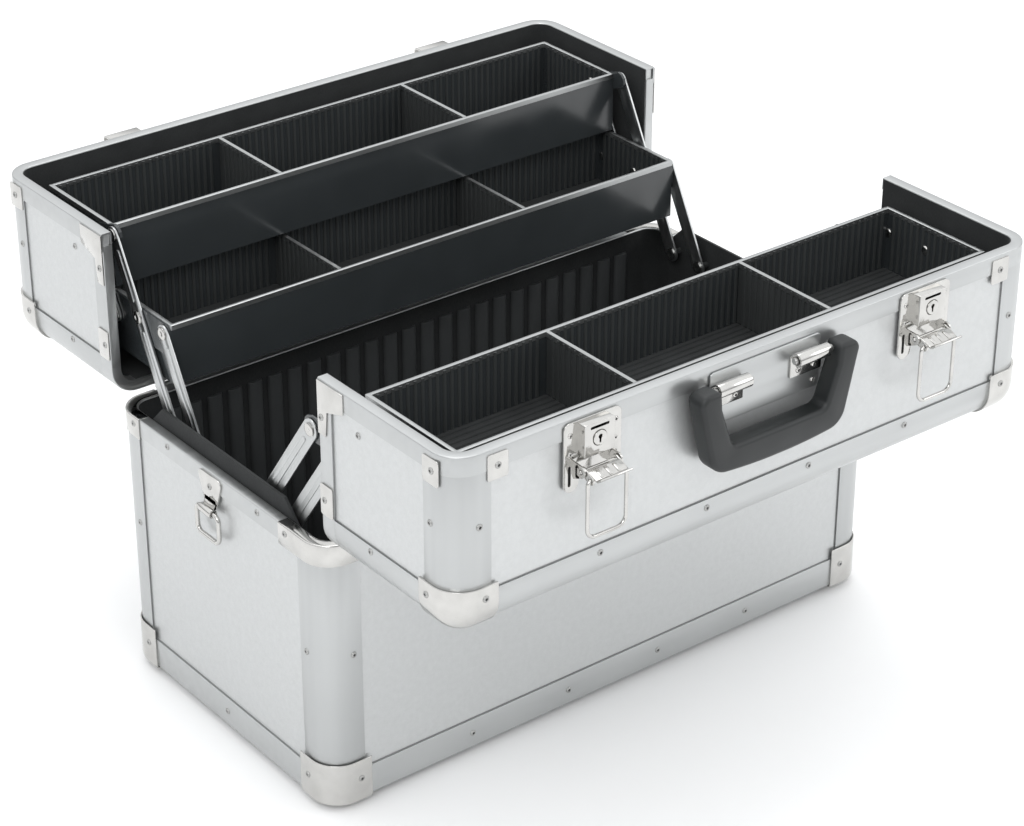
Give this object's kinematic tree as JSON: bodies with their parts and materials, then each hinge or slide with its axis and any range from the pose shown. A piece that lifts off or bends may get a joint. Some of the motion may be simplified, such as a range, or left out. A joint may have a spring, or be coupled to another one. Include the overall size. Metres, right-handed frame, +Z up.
{
  "type": "makeup train case",
  "caption": "Aluminium cosmetics train case with two swing-out lids, cantilever trays on arms, a folding handle and draw latches, shown open.",
  "frame": {"origin": "centre of the floor panel, at its underside and 7 mm above the feet's resting plane", "axes": "+X to the right along the case seen from the front, +Y from the front lid (with the handle) to the back lid, +Z up"},
  "size_m": [0.453, 0.5121, 0.3027],
  "materials": {
    "aluminium_panel": "satin light sheet skin on board",
    "aluminium_profile": "brushed and anodised extrusion",
    "nickel_plate": "bright nickel plate",
    "zinc_steel": "zinc plated strip",
    "tray_black": "glossy black moulding",
    "divider_black": "black sheet with a light edge",
    "grip_plastic": "dark grey moulded grip",
    "foot_rubber": "black rubber",
    "black_steel": "black painted steel"
  },
  "bodies": {
    "base": {"base_floor_panel": "aluminium_panel", "base_front_panel": "aluminium_panel", "base_back_panel": "aluminium_panel", "base_left_panel": "aluminium_panel", "base_right_panel": "aluminium_panel", "base_frame": "aluminium_profile", "base_rim": "aluminium_profile", "foot_front_left": "foot_rubber", "foot_front_right": "foot_rubber", "foot_back_left": "foot_rubber", "foot_back_right": "foot_rubber", "arm_mount_left": "black_steel", "arm_mount_right": "black_steel", "front_hinge_base_leaf": "aluminium_profile", "back_hinge_base_leaf": "aluminium_profile"},
    "front_lid": {"front_lid_face_panel": "aluminium_panel", "front_lid_side_panel": "aluminium_panel", "front_lid_left_panel": "aluminium_panel", "front_lid_right_panel": "aluminium_panel", "front_lid_frame": "aluminium_profile", "front_hinge_lid_leaf": "aluminium_profile", "latch_plate_left": "nickel_plate", "latch_plate_right": "nickel_plate", "handle_bracket": "nickel_plate"},
    "back_lid": {"back_lid_face_panel": "aluminium_panel", "back_lid_side_panel": "aluminium_panel", "back_lid_left_panel": "aluminium_panel", "back_lid_right_panel": "aluminium_panel", "back_lid_frame": "aluminium_profile", "back_hinge_lid_leaf": "aluminium_profile", "latch_catch_left": "nickel_plate", "latch_catch_right": "nickel_plate"},
    "front_rear_arms": {"front_rear_arm_left": "zinc_steel", "front_rear_arm_right": "zinc_steel"},
    "front_fore_arms": {"front_fore_arm_left": "zinc_steel", "front_fore_arm_right": "zinc_steel"},
    "front_tray_body": {"front_tray": "tray_black", "front_tray_divider_left": "divider_black", "front_tray_divider_right": "divider_black"},
    "back_long_arms": {"back_long_arm_left": "zinc_steel", "back_long_arm_right": "zinc_steel"},
    "back_short_arms": {"back_short_arm_left": "zinc_steel", "back_short_arm_right": "zinc_steel"},
    "middle_tray_body": {"middle_tray": "tray_black", "middle_tray_divider_left": "divider_black", "middle_tray_divider_right": "divider_black"},
    "upper_tray_body": {"upper_tray": "tray_black", "upper_tray_divider_left": "divider_black", "upper_tray_divider_right": "divider_black"},
    "tray_links": {"tray_link_left": "zinc_steel", "tray_link_right": "zinc_steel"},
    "handle": {"handle_grip": "grip_plastic"},
    "lever_left": {"latch_lever_left": "nickel_plate"},
    "bail_left": {"latch_bail_left": "nickel_plate"},
    "cylinder_left": {"lock_cylinder_left": "nickel_plate"},
    "ring_left": {"strap_ring_left": "nickel_plate"},
    "lever_right": {"latch_lever_right": "nickel_plate"},
    "bail_right": {"latch_bail_right": "nickel_plate"},
    "cylinder_right": {"lock_cylinder_right": "nickel_plate"},
    "ring_right": {"strap_ring_right": "nickel_plate"}
  },
  "joints": [
    {"name": "front_lid_hinge", "type": "hinge", "parent": "base", "child": "front_lid", "pos_m": [0, -0.115, 0.181], "axis": [-1, 0, 0], "range_deg": [0, 90]},
    {"name": "front_rear_arm_pivot", "type": "hinge", "parent": "base", "child": "front_rear_arms", "pos_m": [0, -0.036, 0.1745], "axis": [-1, 0, 0], "range_deg": [0, 86]},
    {"name": "front_fore_arm_pivot", "type": "hinge", "parent": "base", "child": "front_fore_arms", "pos_m": [0, -0.066, 0.1745], "axis": [-1, 0, 0], "range_deg": [0, 86]},
    {"name": "front_tray_pivot", "type": "hinge", "parent": "front_rear_arms", "child": "front_tray_body", "pos_m": [0, -0.088, 0.2465], "axis": [-1, 0, 0], "range_deg": [-86, 0]},
    {"name": "back_lid_hinge", "type": "hinge", "parent": "base", "child": "back_lid", "pos_m": [0, 0.115, 0.181], "axis": [1, 0, 0], "range_deg": [0, 90]},
    {"name": "back_long_arm_pivot", "type": "hinge", "parent": "base", "child": "back_long_arms", "pos_m": [0, 0.072, 0.1745], "axis": [1, 0, 0], "range_deg": [0, 56]},
    {"name": "back_short_arm_pivot", "type": "hinge", "parent": "base", "child": "back_short_arms", "pos_m": [0, 0.044, 0.1745], "axis": [1, 0, 0], "range_deg": [0, 56]},
    {"name": "middle_tray_pivot", "type": "hinge", "parent": "back_long_arms", "child": "middle_tray_body", "pos_m": [0, 0.106, 0.2385], "axis": [1, 0, 0], "range_deg": [-56, 0]},
    {"name": "upper_tray_pivot", "type": "hinge", "parent": "back_long_arms", "child": "upper_tray_body", "pos_m": [0, 0.13068, 0.28495], "axis": [1, 0, 0], "range_deg": [-56, 0]},
    {"name": "tray_link_pivot", "type": "hinge", "parent": "middle_tray_body", "child": "tray_links", "pos_m": [0, 0.134, 0.23], "axis": [1, 0, 0], "range_deg": [0, 56]},
    {"name": "handle_pivot", "type": "hinge", "parent": "front_lid", "child": "handle", "pos_m": [0, -0.2455, 0.2825], "axis": [-1, 0, 0], "range_deg": [0, 90]},
    {"name": "latch_lever_left_pivot", "type": "hinge", "parent": "front_lid", "child": "lever_left", "pos_m": [-0.126, -0.246, 0.266], "axis": [-1, 0, 0], "range_deg": [0, 60]},
    {"name": "latch_bail_left_pivot", "type": "hinge", "parent": "lever_left", "child": "bail_left", "pos_m": [-0.126, -0.2525, 0.263], "axis": [-1, 0, 0], "range_deg": [0, 110]},
    {"name": "lock_cylinder_left_turn", "type": "hinge", "parent": "front_lid", "child": "cylinder_left", "pos_m": [-0.126, -0.2461, 0.283], "axis": [0, -1, 0], "range_deg": [0, 90]},
    {"name": "strap_ring_left_pivot", "type": "hinge", "parent": "base", "child": "ring_left", "pos_m": [-0.2236, 0.004, 0.1555], "axis": [0, 1, 0], "range_deg": [0, 100]},
    {"name": "latch_lever_right_pivot", "type": "hinge", "parent": "front_lid", "child": "lever_right", "pos_m": [0.126, -0.246, 0.266], "axis": [-1, 0, 0], "range_deg": [0, 60]},
    {"name": "latch_bail_right_pivot", "type": "hinge", "parent": "lever_right", "child": "bail_right", "pos_m": [0.126, -0.2525, 0.263], "axis": [-1, 0, 0], "range_deg": [0, 110]},
    {"name": "lock_cylinder_right_turn", "type": "hinge", "parent": "front_lid", "child": "cylinder_right", "pos_m": [0.126, -0.2461, 0.283], "axis": [0, -1, 0], "range_deg": [0, 90]},
    {"name": "strap_ring_right_pivot", "type": "hinge", "parent": "base", "child": "ring_right", "pos_m": [0.2236, 0.004, 0.1555], "axis": [0, -1, 0], "range_deg": [0, 100]}
  ],
  "couplings": [
    {"joint": "front_rear_arm_pivot", "follows": "front_lid_hinge", "ratio": 0.95556},
    {"joint": "front_fore_arm_pivot", "follows": "front_lid_hinge", "ratio": 0.95556},
    {"joint": "front_tray_pivot", "follows": "front_lid_hinge", "ratio": -0.95556},
    {"joint": "back_long_arm_pivot", "follows": "back_lid_hinge", "ratio": 0.62222},
    {"joint": "back_short_arm_pivot", "follows": "back_lid_hinge", "ratio": 0.62222},
    {"joint": "middle_tray_pivot", "follows": "back_lid_hinge", "ratio": -0.62222},
    {"joint": "upper_tray_pivot", "follows": "back_lid_hinge", "ratio": -0.62222},
    {"joint": "tray_link_pivot", "follows": "back_lid_hinge", "ratio": 0.62222}
  ]
}
